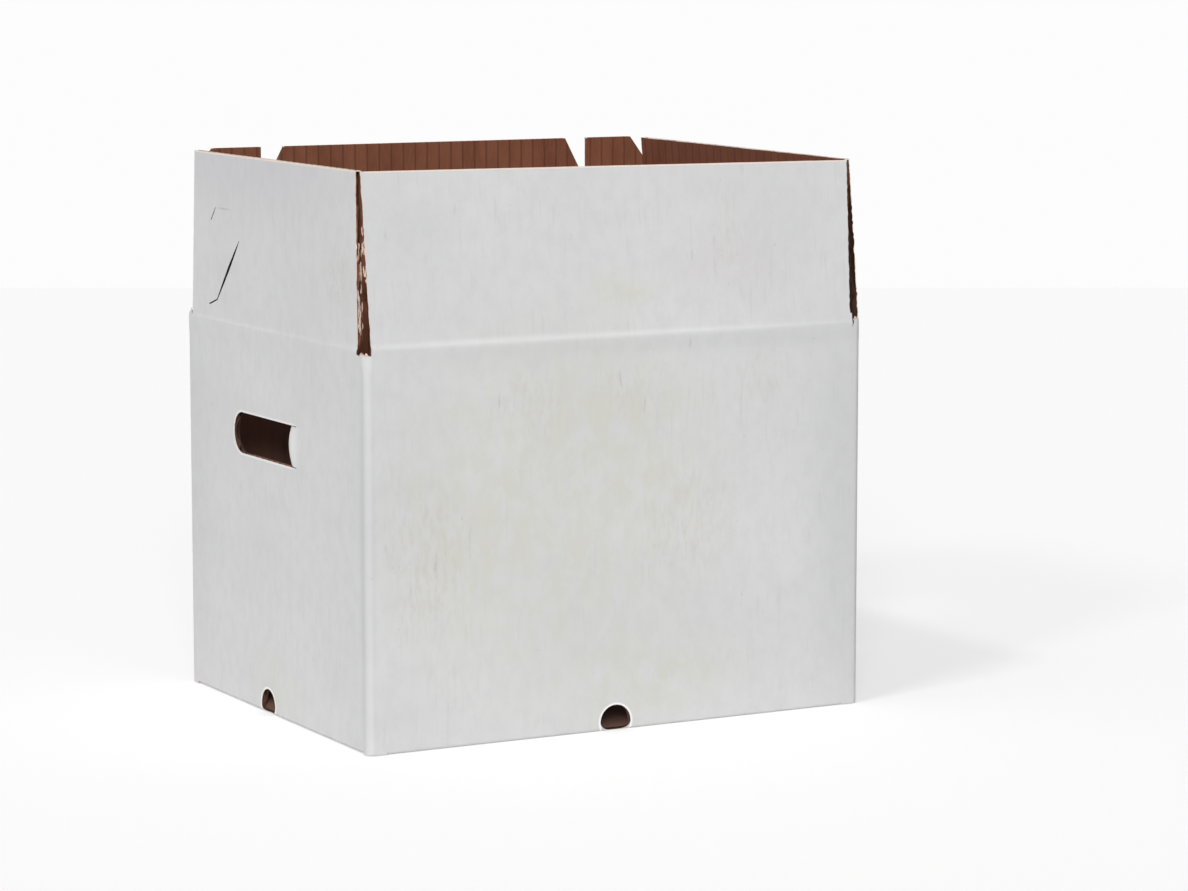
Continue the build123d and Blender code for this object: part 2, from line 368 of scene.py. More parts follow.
class Flap:
    """A top flap on its crease: its lean in degrees is given at the two ends of an end wall."""

    def __init__(self, wall, hinge, along, outward, lean):
        self.crest_drop = long_crest_drop * abs(outward[1])
        self.u_middle = along_wall(wall, 0.0)  # place on the sheet of the middle of its wall
        self.crest = hinge[2]
        self.hinge = np.array(hinge, float)
        self.along = np.array(along, float)
        self.outward = np.array(outward, float)
        self.lean = lean
        self.low = slot_floor - self.crest

    def place(self, u, v, w):
        up = np.array([0.0, 0.0, 1.0])
        a = u - self.u_middle
        s = v - self.crest
        share = (a + half_width) / width
        lean = np.radians(self.lean[0] + (self.lean[1] - self.lean[0]) * share)
        bent = np.maximum(s + self.crest_drop, 0.0)
        turned = lean * smooth(*lean_rise, s + self.crest_drop)
        rise = s + (np.cos(lean) - 1) * bent
        inward = np.sin(lean) * bent
        offset = ridge(u, s + self.crest_drop) - squeezed(w, s)
        sideways = a[:, None] * self.along
        across = (np.cos(turned) * offset - inward)[:, None] * self.outward
        upward = (rise + np.sin(turned) * offset)[:, None] * up
        return self.hinge + sideways + across + upward

    def sheet(self, points):
        """Points across the flap and above its crease, as places on the sheet."""
        return [(self.u_middle + a, self.crest + s) for a, s in points]


flaps = {
    "front": Flap(FRONT, (0, -half_width, height), (1, 0, 0), (0, -1, 0), (front_lean, front_lean)),
    "back": Flap(BACK, (0, half_width, height), (-1, 0, 0), (0, 1, 0), (0.0, 0.0)),
    "left": Flap(LEFT, (-half_length, 0, end_height), (0, -1, 0), (-1, 0, 0), (0.0, 0.0)),
    "right": Flap(RIGHT, (half_length, 0, end_height), (0, 1, 0), (1, 0, 0), right_twist),
}

tab_arcs = [(radius * math.radians(turn), -turn) for radius, turn in tab_bends]
tab_arc = sum(size for size, turn in tab_arcs)
tab_line = FoldedLine((-middle_x, hole_hinge_y), 90.0, tab_arcs + [(hole_length - tab_arc, 0.0)])


def hole_hinge(side):
    """Sheet place of the front end of the left (-1) or right (1) hand hole, where its tab bends."""
    return along_wall(hole_walls[side], hole_hinge_y)


def tab_placer(side):
    """Placing for the tab of a hand hole, bent inward about the hole's front end."""
    hinge = hole_hinge(side)

    def place(u, v, w):
        later = tab_bulge * np.clip(1 - ((v - hole_middle) / hole_height * 2) ** 2, 0.0, 1.0)
        along = side * (u - hinge)
        x, y, dx, dy = tab_line.at(np.maximum(along - later, 0.0))
        y = y + np.minimum(along, later)
        offset = half_board - w
        x = x - dy * offset
        y = y + dx * offset
        return np.stack([-side * x, y, v], axis=-1)

    return place


def inside(loops, points):
    """Which points lie inside an odd number of loops."""
    x, y = points.T
    odd = np.zeros(len(points), bool)
    for loop in loops:
        for (ax, ay), (bx, by) in zip(loop, loop[1:] + loop[:1]):
            crossing = (ay > y) != (by > y)
            if crossing.any():
                odd ^= crossing & (x < ax + (y - ay) * (bx - ax) / (by - ay if by != ay else 1.0))
    return odd


def cut_out(loops, columns=(), rows=()):
    """Triangles of the sheet inside the loops. Columns are places u, rows are (v, u from, u to)."""
    points = []
    edges = []
    for loop in loops:
        first = len(points)
        points += [Vector(p) for p in loop]
        edges += [(first + i, first + (i + 1) % len(loop)) for i in range(len(loop))]
    lows = np.min(loops[0], axis=0) - overrun
    highs = np.max(loops[0], axis=0) + overrun
    lines = [((u, lows[1]), (u, highs[1])) for u in columns if lows[0] < u < highs[0]]
    lines += [((a, v), (b, v)) for v, a, b in rows]
    for start, end in lines:
        edges.append((len(points), len(points) + 1))
        points += [Vector(start), Vector(end)]
    result = delaunay_2d_cdt(points, edges, [], 0, weld_distance)
    flat = np.array([p[:] for p in result[0]])
    faces = np.array([f for f in result[2] if len(f) == 3])
    a, b, c = (flat[faces[:, i]] for i in range(3))
    area = (b[:, 0] - a[:, 0]) * (c[:, 1] - a[:, 1]) - (b[:, 1] - a[:, 1]) * (c[:, 0] - a[:, 0])
    faces[area < 0] = faces[area < 0][:, ::-1]
    faces = faces[(np.abs(area) > TINY) & inside(loops, flat[faces].mean(axis=1))]
    used, faces = np.unique(faces, return_inverse=True)
    return flat[used], faces.reshape(-1, 3)


def rim_edges(faces):
    """Directed edges that have a face on one side only."""
    edges = np.concatenate([faces[:, [0, 1]], faces[:, [1, 2]], faces[:, [2, 0]]])
    count = faces.max() + 1
    forward = edges[:, 0] * count + edges[:, 1]
    backward = edges[:, 1] * count + edges[:, 0]
    return edges[~np.isin(forward, backward)]


class Piece:
    """Layers of board gathered into one mesh."""

    def __init__(self):
        self.points = []
        self.sheet = []
        self.faces = []
        self.skins = []
        self.count = 0

    def slab(self, cut, place, outer, inner, skins, slits=()):
        """Closed layer between two depths, with skins for outer face, inner face and rim. Slits are dark."""
        flat, faces = cut
        u, v = flat.T
        n = len(flat)
        for depth in (outer + 0 * u, inner + 0 * u):
            self.points.append(place(u, v, depth))
            self.sheet.append(np.stack([u, v, depth], axis=-1))
        rim = rim_edges(faces)
        quads = np.stack([rim[:, 0], rim[:, 0] + n, rim[:, 1] + n, rim[:, 1]], axis=1)
        self.faces += (faces + self.count).tolist()
        self.faces += (faces[:, ::-1] + n + self.count).tolist()
        self.faces += (quads + self.count).tolist()
        rim_skins = np.full(len(quads), skins[2])
        middles = (flat[rim[:, 0]] + flat[rim[:, 1]]) / 2
        for loop in slits:
            low = np.min(loop, axis=0) - slit_margin
            high = np.max(loop, axis=0) + slit_margin
            rim_skins[((middles > low) & (middles < high)).all(axis=1)] = CUT
        self.skins += [skins[0]] * len(faces) + [skins[1]] * len(faces) + rim_skins.tolist()
        self.count += 2 * n

    def layers(self, loops, place, columns, rows, liner_loops=None, slits=()):
        """Outer liner, fluted paper and inner liner; the outer liner may have an outline of its own."""
        faces = cut_out(loops, columns, rows)
        outer_faces = cut_out(liner_loops, columns, rows) if liner_loops else faces
        self.slab(outer_faces, place, 0.0, liner, (WHITE, KRAFT, RIM), slits)
        self.slab(faces, place, board - liner, board, (KRAFT, KRAFT, CUT))
        fine = sorted(set(columns) | set(np.arange(*span(loops[0]), flute_pitch / flute_steps)))
        faces = cut_out(loops, fine, rows)
        swing = half_board - liner - paper / 2
        middle = half_board + swing * np.sin(faces[0][:, 0] * 2 * math.pi / flute_pitch)
        self.slab(faces, place, middle - paper / 2, middle + paper / 2, (KRAFT, KRAFT, CUT))

    def make(self, name, materials):
        mesh = bpy.data.meshes.new(name)
        points = np.concatenate(self.points) * MM
        mesh.from_pydata(points.tolist(), [], self.faces)
        sheet = mesh.attributes.new("sheet", "FLOAT_VECTOR", "POINT")
        sheet.data.foreach_set("vector", np.concatenate(self.sheet).astype(np.float32).ravel())
        for material in materials:
            mesh.materials.append(material)
        mesh.polygons.foreach_set("material_index", self.skins)
        mesh.polygons.foreach_set("use_smooth", [True] * len(self.faces))
        mesh.set_sharp_from_angle(angle=math.radians(sharp_angle))
        mesh.update()
        return add_object(name, mesh)


def arc_points(centre, radius, start, end, count):
    """Points on an arc; radius is (across, up)."""
    angles = np.radians(np.linspace(start, end, count))
    return [(centre[0] + radius[0] * math.cos(t), centre[1] + radius[1] * math.sin(t)) for t in angles]


def worn(start, end, step, amount):
    """Points on a cut edge that wanders inward a little, without its end; the sheet lies on its left."""
    start = np.array(start, float)
    end = np.array(end, float)
    run = end - start
    size = np.linalg.norm(run)
    count = max(2, int(size / step))
    side = np.array([-run[1], run[0]]) / size
    shifts = RNG.uniform(0.0, amount, count)
    shifts[0] = 0.0
    return [tuple(start + run * i / count + side * shifts[i]) for i in range(count)]


def torn_slot(low, high, rises=(0.0, 0.0)):
    """Floor of a corner slot, from high u to low u: torn more than cut, and higher by its rises."""
    places = np.linspace(high, low, max(4, int((high - low) / tear_step)))[1:-1]
    floors = slot_floor + np.linspace(*rises, len(places) + 2)[1:-1]
    torn = [(u, floor_v + RNG.uniform(*tear_heights)) for u, floor_v in zip(places, floors)]
    return [(high, slot_floor)] + torn + [(low, slot_floor)]


def blank_outline():
    """Edge of the sheet below the top creases."""
    lap_root = along_wall(LAP, half_length - corner_radius)
    lap_end = wall_line.length
    lap_drop = lap_taper * (lap_end - lap_root) / (lap_width - corner_radius)
    lap_high = slot_floor - lap_top_drop
    edge = [(0.0, foot_gap)]
    for low, high, profile in fold_zones:
        fold = height - profile.starts[1]
        bottom = height - profile.length
        edge += [(low - fold_slit, foot_gap), (low - fold_slit, fold), (low + fold_slit, fold)]
        edge += [(low + fold_slit, bottom), (high - fold_slit, bottom)]
        edge += [(high - fold_slit, fold), (high + fold_slit, fold), (high + fold_slit, foot_gap)]
    edge += [(lap_root, foot_gap), (lap_root, lap_low), (lap_end, lap_low + lap_drop)]
    edge += [(lap_end, lap_high - lap_drop), (lap_root, lap_high), (lap_root, slot_floor)]
    edge += torn_slot(*right_slot, right_slot_rises)
    edge += torn_slot(*left_slot)
    edge += torn_slot(*back_slot, back_slot_rises)
    return edge + [(0.0, slot_floor)]


def vent_outline(u):
    """Round hole that lies across a bottom crease."""
    upper = arc_points((u, vent_rise), (vent_radius, vent_radius), 0, 180, 20)
    lower = arc_points((u, vent_rise), (vent_radius, vent_rise + layer_gap), 180, 360, 20)
    return upper[:-1] + lower[:-1]


def hole_outline(side, clearance, count):
    """Hand hole less a clearance: square at its hinge, round at its back end."""
    hinge = hole_hinge(side)
    radius = hole_height / 2 - clearance
    straight = hole_length - radius
    points = [(0.0, hole_middle - radius), (straight, hole_middle - radius)]
    points += arc_points((straight, hole_middle), (radius, radius), *round_end, count)
    points += [(straight, hole_middle + radius), (0.0, hole_middle + radius)]
    return [(hinge + side * q, v) for q, v in points]


def fold_rows():
    """Rows of the sheet at the bottom folds: through each bend, and where the crushing ends."""
    rows = []
    reach = (board - fold_web) / fold_web_slope
    for low, high, profile in fold_zones:
        distances = [d for start, end in profile.bends() for d in np.linspace(start, end, fold_steps)]
        start, end = profile.bends()[0]
        distances += [start - reach, end + reach]
        rows += [(height - distance, low - overrun, high + overrun) for distance in distances]
    return rows


def add_torn_teeth(piece, slot, rise, count):
    """Small torn points of paper on the floor of a corner slot."""
    foot = slot_floor + rise - tooth_root
    for u in RNG.uniform(slot[0] + tooth_margin, slot[1] - tooth_margin, count):
        half = RNG.uniform(*tooth_half_widths)
        loop = [(u - half, foot), (u + half, foot), (u, foot + RNG.uniform(*tooth_heights))]
        depth = RNG.uniform(*tooth_depths)
        piece.slab(cut_out([loop]), place_walls, depth, depth + tooth_paper, (RIM, RIM, RIM))


def add_tab(piece, side):
    """Board cut free in a hand hole and bent inward."""
    hinge = hole_hinge(side)
    bend = [hinge + side * q for q in np.linspace(0, tab_arc + tab_bulge, tab_steps)[1:]]
    low, high = sorted((hinge - side * overrun, hinge + side * (hole_length + overrun)))
    rows = [(v, low, high) for v in hole_middle + tab_rows * hole_height]
    piece.layers([hole_outline(side, tab_clearance, 15)], tab_placer(side), bend, rows)


def carton(materials):
    """Walls, glue lap and glued bottom from one sheet, with the hand-hole tabs."""
    loops = [blank_outline()]
    loops += [vent_outline(along_wall(wall, place)) for wall, place in vents]
    loops += [hole_outline(side, 0.0, 17) for side in hole_walls]
    columns = list(np.arange(flute_pitch, wall_line.length, flute_pitch))
    for start, end in wall_line.bends():
        columns += list(np.linspace(start, end, corner_steps))
    ridge_heights = np.arange(ridge_rows_from, slot_floor - ridge_row_step / 2, ridge_row_step)
    rows = [(v, -overrun, wall_line.length + overrun) for v in ridge_heights]
    piece = Piece()
    piece.layers(loops, place_walls, columns, rows + fold_rows())
    add_torn_teeth(piece, left_slot, 0.0, 14)
    add_torn_teeth(piece, right_slot, right_slot_rises[0], 10)
    for side in hole_walls:
        add_tab(piece, side)
    return piece.make("carton_board", materials)


def front_outline(left_low, left_top, right_low, right_top, wear):
    """Front flap or its torn outer liner, from its sides at the crease and at the free edge."""
    right_high = flap_depth - front_top_drop
    points = [(left_low, strip_top), (right_low, strip_top)]
    points += worn((right_low, worn_from), (right_top, right_high), side_step, wear)
    points += worn((right_top, right_high), (left_top, flap_depth), top_step, top_wear)
    points += worn((left_top, flap_depth), (left_low, worn_from), torn_step, wear)
    return [flaps["front"].sheet(points)]


def back_outline():
    """Back flap: two chamfered ears, and a tongue between two notches with round floors."""
    notch_end = flap_depth - notch_depth
    round_floor = (notch_floor / 2, notch_floor / 2)
    ear = [(ear_end, flap_depth), (ear_side, flap_depth), (ear_side, notch_end)]
    ear += arc_points((ear_side - notch_floor / 2, notch_end), round_floor, -10, -170, 8)
    ear += [(ear_side - notch_floor, notch_end), (tongue_side, flap_depth)]
    other = [(-a, s) for a, s in reversed(ear)]
    slope = ear_chamfer_drop / ear_chamfer_run
    foot = flap_depth - ear_chamfer_drop
    points = [(long_flap_low, strip_top), (long_flap_high, strip_top)]
    points += [(long_flap_high, foot + slope * slot_shift)]
    points += ear + other + [(long_flap_low, foot)]
    return [flaps["back"].sheet(points)]


def slit_outline(points, gape):
    """Narrow cut along a line of points, that gapes along its first run."""
    points = [np.array(p, float) for p in points]
    first = [points[0] + (points[1] - points[0]) * share for share in gape_places]
    widths = [slit_width / 2] + [gape * share for share in gape_widths] + [slit_width] * (len(points) - 1)
    points = first + points[2:]
    left = []
    right = []
    for i, p in enumerate(points):
        run = points[min(i + 1, len(points) - 1)] - points[max(i - 1, 0)]
        side = np.array([-run[1], run[0]]) / np.linalg.norm(run) * widths[i] / 2
        left.append(tuple(p + side))
        right.append(tuple(p - side))
    return left + right[::-1]


def end_edges(front_inset, front_free_inset, back_free_inset):
    """Front and back edge of an end flap, each at its crease and its free edge, along Y."""
    front = (-half_width + front_inset, -half_width + front_free_inset)
    return front, (end_reach, half_width - back_free_inset)


def at_strip_top(ends):
    """Where a sloping edge of an end flap is at the top of its crease strip."""
    return ends[0] + (ends[1] - ends[0]) * strip_top / end_flap_depth


def edge_line(name, side, ends):
    """Place u of a flap's edge at a height v; ends are its places at the crease and at the free edge."""
    flap = flaps[name]
    slope = ends[1] - ends[0]
    return lambda v: flap.u_middle + side * (ends[0] + slope * (v - flap.crest) / end_flap_depth)


def end_outline(name, front, back, drop, wear):
    """End flap with its lock slits. Its back is at low u on the left flap, at high u on the right one."""
    flap = flaps[name]
    side = -1 if name == "left" else 1
    front_low = at_strip_top(front)
    back_low = at_strip_top(back)
    front_top = end_flap_depth - drop
    edge = [(front_low, strip_top), (back_low, strip_top)]
    edge += worn((back_low, worn_from), (back[1], end_flap_depth), side_step, back_wear)
    edge += worn((back[1], end_flap_depth), (front[1], front_top), top_step, top_wear)
    edge += worn((front[1], front_top), (front_low, worn_from), *wear)
    loops = [[(side * a, s) for a, s in edge]]
    for slit, gape in ((main_slit, slit_gape), (upper_slit, slit_width)):
        loops.append([(side * (half_width - a), s) for a, s in slit_outline(slit, gape)])
    return [flap.sheet(loop) for loop in loops]


def add_fibres(piece, flap, edge, heights, outward, count, reach, skin):
    """Torn slivers of paper that stand out of a cut edge; edge gives u at v, heights are above the crease."""
    for _ in range(count):
        low = RNG.uniform(flap.crest + heights[0], flap.crest + heights[1])
        size = RNG.uniform(*fibre_lengths)
        out = RNG.uniform(*fibre_reaches) * reach
        depth = RNG.uniform(*fibre_depths)
        shape = [(-fibre_root, 0.0), (0.6 * out, 0.25 * size), (out, 0.6 * size),
                 (0.3 * out, 0.85 * size), (-fibre_root, size)]
        loop = [(edge(low + rise) + outward * across, low + rise) for across, rise in shape]
        piece.slab(cut_out([loop]), flap.place, depth, depth + fibre_paper, (skin, skin, skin))


def add_edge_paper(piece, flap, start, end, layer):
    """A layer of paper along a top edge, such as the paper pressed by the knife, and the pale strip on its
    outer face that is partly painted highlight.
    """
    (a, top), (b, other_top) = start, end
    reach, gap, outer, inner = layer
    loop = flap.sheet([(a, top - reach), (a, top - gap), (b, other_top - gap), (b, other_top - reach)])
    low, high = span(loop)
    columns = np.arange(low + overrun, high, flute_pitch)
    piece.slab(cut_out([loop], columns), flap.place, outer, inner, (RIM, RIM, RIM))


def flap_board(name, loops, materials, top_edges, fibres=(), liner_loops=None):
    """Flap above its crease strip, with its top edges' pressed paper and pale strips, the strips partly
    painted highlight, and its fibres.
    """
    flap = flaps[name]
    low, high = span(loops[0])
    columns = list(np.arange(low + overrun, high, flute_pitch))
    groove = crease_web_run + (board - crease_web) / crease_web_slope
    rows = [(flap.crest + s, low - overrun, high + overrun) for s in (groove, *flap_rows)]
    piece = Piece()
    piece.layers(loops, flap.place, columns, rows, liner_loops, loops[1:])
    for start, end in top_edges:
        add_edge_paper(piece, flap, start, end, pressed_edge)
        add_edge_paper(piece, flap, start, end, top_edge_highlight_strip)
    for settings in fibres:
        add_fibres(piece, flap, *settings)
    return piece.make(f"{name}_flap_board", materials)


def crease_strip(name, ends, materials):
    """The creased board between a wall and its flap, crushed thin along the fold."""
    flap = flaps[name]
    low, high, free_low, free_high = ends
    loop = flap.sheet([(low, flap.low), (high, flap.low), (high, 0.0), (free_high, strip_top),
                       (free_low, strip_top), (low, 0.0)])
    columns = list(np.arange(loop[0][0] + overrun, loop[1][0], flute_pitch / 2))
    low, high = loop[0][0] - overrun, loop[1][0] + overrun
    rows = [(flap.crest + s, low, high) for s in strip_rows if s > flap.low + row_margin]
    piece = Piece()
    piece.slab(cut_out([loop], columns, rows), flap.place, 0.0, board, (WHITE, KRAFT, CUT))
    return piece.make(f"{name}_crease_strip", materials)


# Materials: patterns are laid out on the flat sheet, in millimetres
def add_node(tree, kind, inputs=None, **settings):
    """New node with its settings; an input is a value or another node's socket."""
    node = tree.nodes.new("ShaderNode" + kind)
    for key, value in settings.items():
        setattr(node, key, value)
    fill(tree, node, inputs or {})
    return node


def fill(tree, node, inputs):
    """Set or link a node's inputs."""
    for key, value in inputs.items():
        if isinstance(value, bpy.types.NodeSocket):
            tree.links.new(value, node.inputs[key])
        else:
            node.inputs[key].default_value = value


def sheet_vector(tree, *steps):
    """Sheet coordinates after vector steps, each an operation with its second value, if any."""
    source = add_node(tree, "Attribute", attribute_name="sheet").outputs["Vector"]
    for operation, *values in steps:
        inputs = dict(enumerate([source, *values]))
        node = add_node(tree, "VectorMath", inputs, operation=operation)
        source = node.outputs["Value" if operation == "LENGTH" else "Vector"]
    return source


def noise(tree, scale, detail=3.0, roughness=0.5):
    places = sheet_vector(tree, ("MULTIPLY", scale))
    inputs = {"Vector": places, "Scale": 1.0, "Detail": detail, "Roughness": roughness}
    return add_node(tree, "TexNoise", inputs).outputs["Fac"]


def ramp(tree, source, low, high, start=0.0, end=1.0):
    """Maps low..high to start..end, smoothly."""
    inputs = {"Value": source, "From Min": low, "From Max": high, "To Min": start, "To Max": end}
    return add_node(tree, "MapRange", inputs, interpolation_type="SMOOTHSTEP").outputs["Result"]


def fade(tree, axis, low, high, start, end):
    """A ramp along one of the sheet coordinates: X is u, Y is v, Z is w."""
    parts = add_node(tree, "SeparateXYZ", {0: sheet_vector(tree)})
    return ramp(tree, parts.outputs[axis], low, high, start, end)


def mix(tree, factor, first, second):
    inputs = {"Factor": factor, "A": first, "B": second}
    return add_node(tree, "Mix", inputs, data_type="RGBA").outputs["Result"]


def coated(tree, colour, *coats):
    """A colour under further ones, each laid on through its mask."""
    for mask, tint in coats:
        colour = mix(tree, mask, colour, tint)
    return colour


def paper_material(paint, roughness, specular):
    """Material of a paint function, which gives its colour and its relief, with strength and depth."""
    material = bpy.data.materials.new(paint.__name__)
    material.use_nodes = True
    tree = material.node_tree
    colour, relief, strength, depth = paint(tree)
    bump = add_node(tree, "Bump", {"Height": relief, "Strength": strength, "Distance": depth * MM})
    fill(tree, tree.nodes["Principled BSDF"], {
        "Base Color": colour, "Normal": bump.outputs["Normal"],
        "Roughness": roughness, "Specular IOR Level": specular,
    })
    return material


def wave_lines(tree, start, end, strength):
    """Lines along the flutes."""
    places = sheet_vector(tree, ("MULTIPLY", (math.pi / 10 / flute_pitch, 0, 0)))
    wave = add_node(tree, "TexWave", {"Vector": places, "Scale": 1.0, "Distortion": 0.0},
                    wave_type="BANDS", bands_direction="X", wave_profile="SIN")
    return ramp(tree, wave.outputs["Fac"], start, end, 0.0, strength)


def times(tree, first, second):
    return add_node(tree, "Math", {0: first, 1: second}, operation="MULTIPLY").outputs[0]


def patch_mask(tree, place, size, strength):
    """Soft round patch on the sheet: full in its middle, nothing at its size."""
    scale = (1 / size[0], 1 / size[1], 0.0)
    distance = sheet_vector(tree, ("SUBTRACT", (*place, 0.0)), ("MULTIPLY", scale), ("LENGTH",))
    return ramp(tree, distance, patch_core, 1.0, strength, 0.0)


def rim_mask(tree, place, straight, radius):
    """Narrow band just outside a round-ended hole, whose ends are a straight run from its middle."""
    distance = sheet_vector(tree, ("MULTIPLY", (1, 1, 0)), ("SUBTRACT", (*place, 0)), ("ABSOLUTE",),
                            ("SUBTRACT", (straight, 0, 0)), ("MAXIMUM", (0, 0, 0)), ("LENGTH",))
    start, full, fading, end = (radius + step for step in rim_fade)
    return times(tree, ramp(tree, distance, start, full), ramp(tree, distance, fading, end, 1.0, 0.0))


# Colours of the papers, and of painted shade on the brown paper
PAPER = (0.648, 0.648, 0.65, 1)
BRIGHT_PAPER = (0.673, 0.673, 0.674, 1)
MOTTLE = (0.56, 0.56, 0.565, 1)
FAINT_DASH = (0.53, 0.53, 0.52, 1)
SPECK = (0.34, 0.32, 0.29, 1)
BROWN_PAPER = (0.195, 0.068, 0.036, 1)
TAN_PAPER = (0.25, 0.092, 0.050, 1)
FIBRE = (0.31, 0.135, 0.085, 1)
FLUTE_LINE = (0.085, 0.031, 0.019, 1)
# paler, greyer brown used lower down
LOW_PALE_BROWN = (0.36, 0.23, 0.185, 1)
# painted shade for the inside of the bottom
BOTTOM_SHADE_BROWN = (0.06, 0.032, 0.026, 1)
SHADE = (0.10, 0.036, 0.024, 1)
PRESSED = (0.70, 0.46, 0.34, 1)
LIGHT_PRESSED = (0.86, 0.74, 0.65, 1)
CUT_BROWN = (0.075, 0.035, 0.025, 1)
CUT_TAN = (0.24, 0.125, 0.085, 1)

# Colours of marks and wear, and of painted shade and painted highlight
YELLOW = (0.625, 0.622, 0.56, 1)
BROWN = (0.54, 0.515, 0.45, 1)
PINK = (0.62, 0.575, 0.58, 1)
COOL = (0.55, 0.545, 0.575, 1)
GREY = (0.52, 0.525, 0.53, 1)
# painted highlight: the front crease ridge, the bend of a hand-hole tab and the rims of the hand holes
PAINTED_HIGHLIGHT = (0.80, 0.80, 0.80, 1)
# painted highlight around the vents
RIM_HIGHLIGHT = (0.90, 0.89, 0.87, 1)
# cream of the top edges: partly their own colour, partly painted highlight
TOP_EDGE_CREAM_AND_HIGHLIGHT = (0.84, 0.73, 0.66, 1)
DARK = (0.36, 0.36, 0.36, 1)
DASH = (0.40, 0.37, 0.33, 1)
# painted shade for the right flap's front edge, in its slot
SLOT_SHADE_BROWN = (0.032, 0.017, 0.013, 1)
# painted shade for cuts whose fluted paper shows dark
CUT_SHADE_BROWN = (0.024, 0.018, 0.016, 1)

# Marks on the sheet, painted shade and painted highlight among them
patch_core = 0.15  # share of a patch's size that is full
rim_fade = (-0.3, 0.0, 0.7, 1.6)  # a painted highlight along a hole's rim comes and goes at these distances from its edge
rim_hinge_fade = 8.0  # it is missing at a hand hole's hinge
tab_highlight_from = 12.0  # painted highlight on the bend of a tab, from its hinge
tab_highlight_size = (18.0, 999.0)
# middle of the painted shade along the right flap's front edge
slot_shade_place = (along_wall(RIGHT, -122.0), 290.0)
back_corner = (along_wall(LEFT, half_width - 2.0), 229.0)  # pale torn corner beside the left flap
back_corner_size = (14.0, 12.0)

# Cuts painted with shade where their fluted paper shows dark, as place and size: vents, hand holes, lock
# slits
dark_cuts = [((along_wall(wall, place), vent_rise + 4.0), 14.0) for wall, place in vents]
dark_cuts += [((hole_hinge(side) + side * (hole_length - 8.0), hole_middle), 26.0) for side in hole_walls]
dark_cuts += [((along_wall(wall, 66.0), 262.0), 52.0) for wall in hole_walls.values()]

# Marks seen on the walls and flaps: wall, place along it, height, half sizes, colour, strength. Yellow, brown
# and pink are stain marks, grey and cool are greyer patches, the dark one a thin line; the grey patches
# marked below are painted shade, the pale bands painted highlight
marks_and_painted_light = [
    (FRONT, -45, 128, (140, 150), YELLOW, 0.75),
    (FRONT, -10, 190, (95, 44), YELLOW, 0.5),
    (FRONT, -110, 122, (56, 84), YELLOW, 0.45),
    (FRONT, -125, 108, (38, 70), BROWN, 0.45),
    (FRONT, -58, 196, (34, 34), BROWN, 0.3),
    (FRONT, 27, 147, (54, 38), YELLOW, 0.45),
    (FRONT, 44, 118, (44, 52), BROWN, 0.36),
    (FRONT, 8, 196, (40, 34), BROWN, 0.26),
    (FRONT, 20, 30, (80, 38), YELLOW, 0.8),
    (FRONT, 95, 202, (26, 26), BROWN, 0.3),
    (FRONT, 0, 256, (34, 18), YELLOW, 0.9),
    (FRONT, 72, 268, (64, 32), PINK, 0.42),
    (FRONT, 74, 286, (16, 34), BROWN, 0.3),
    (FRONT, -128, 296, (36, 30), GREY, 0.16),
    # painted shade towards the right edge of the front
    (FRONT, 158, 120, (48, 170), GREY, 0.45),
    # painted shade in a band below the front crease ridge
    (FRONT, 60, 225, (190, 9), GREY, 0.25),
    # painted shade towards the left side of the front
    (FRONT, -140, 170, (60, 90), GREY, 0.15),
    (FRONT, 20, 60, (120, 70), GREY, 0.14),
    (FRONT, 118, 285, (70, 60), GREY, 0.16),
    # painted highlight along the front crease ridge
    (FRONT, -80, 231.2, (150, 3.6), PAINTED_HIGHLIGHT, 0.4),
    (FRONT, 50, 231.0, (110, 3.4), PAINTED_HIGHLIGHT, 0.3),
    (FRONT, -162, 110, (7, 190), GREY, 0.6),
    (LEFT, 0, 22, (50, 26), YELLOW, 0.6),
    # painted shade towards the back edge of the left wall
    (LEFT, 128, 130, (46, 170), GREY, 0.28),
    (LEFT, 40, 328, (230, 52), COOL, 0.42),
    (LEFT, -94, 270, (26, 34), BROWN, 0.45),
    (LEFT, 69.2, 296.2, (14, 0.8), DARK, 0.5),
]

# Brown dashes along the flutes of the front: place along it, height, half length
dash_half_width = 1.4
dash_strength = 0.4
dashes_shown = [
    (49, 283, 20), (64, 277, 24), (89, 255, 9), (7, 256, 8), (-14, 253, 8), (45, 225, 6), (-103, 306, 5),
    (-123, 278, 6), (-147, 293, 5), (-151, 123, 14), (-136, 93, 18), (-120, 109, 26), (-98, 116, 14),
    (-79, 198, 16), (-1, 202, 20), (15, 192, 18), (80, 188, 20),
]


def stains_and_painted_light(tree, colour):
    """White paper with its stain marks, some of them broken up, its brown dashes, and the painted shade and
    painted highlight listed with the marks.
    """
    patches = ramp(tree, noise(tree, (0.08, 0.05, 0.0), 4.0, 0.65), 0.3, 0.66)
    spots = ramp(tree, noise(tree, (0.34, 0.1, 0.0), 4.0, 0.65), 0.42, 0.7)
    broken = {YELLOW: patches, PINK: patches, BROWN: spots}
    for wall, place, high, size, tint, strength in marks_and_painted_light:
        mask = patch_mask(tree, (along_wall(wall, place), high), size, strength)
        if tint in broken:
            mask = times(tree, mask, broken[tint])
        colour = mix(tree, mask, colour, tint)
    for place, high, reach in dashes_shown:
        mask = patch_mask(tree, (along_wall(FRONT, place), high), (dash_half_width, reach), dash_strength)
        colour = mix(tree, times(tree, mask, spots), colour, DASH)
    return colour


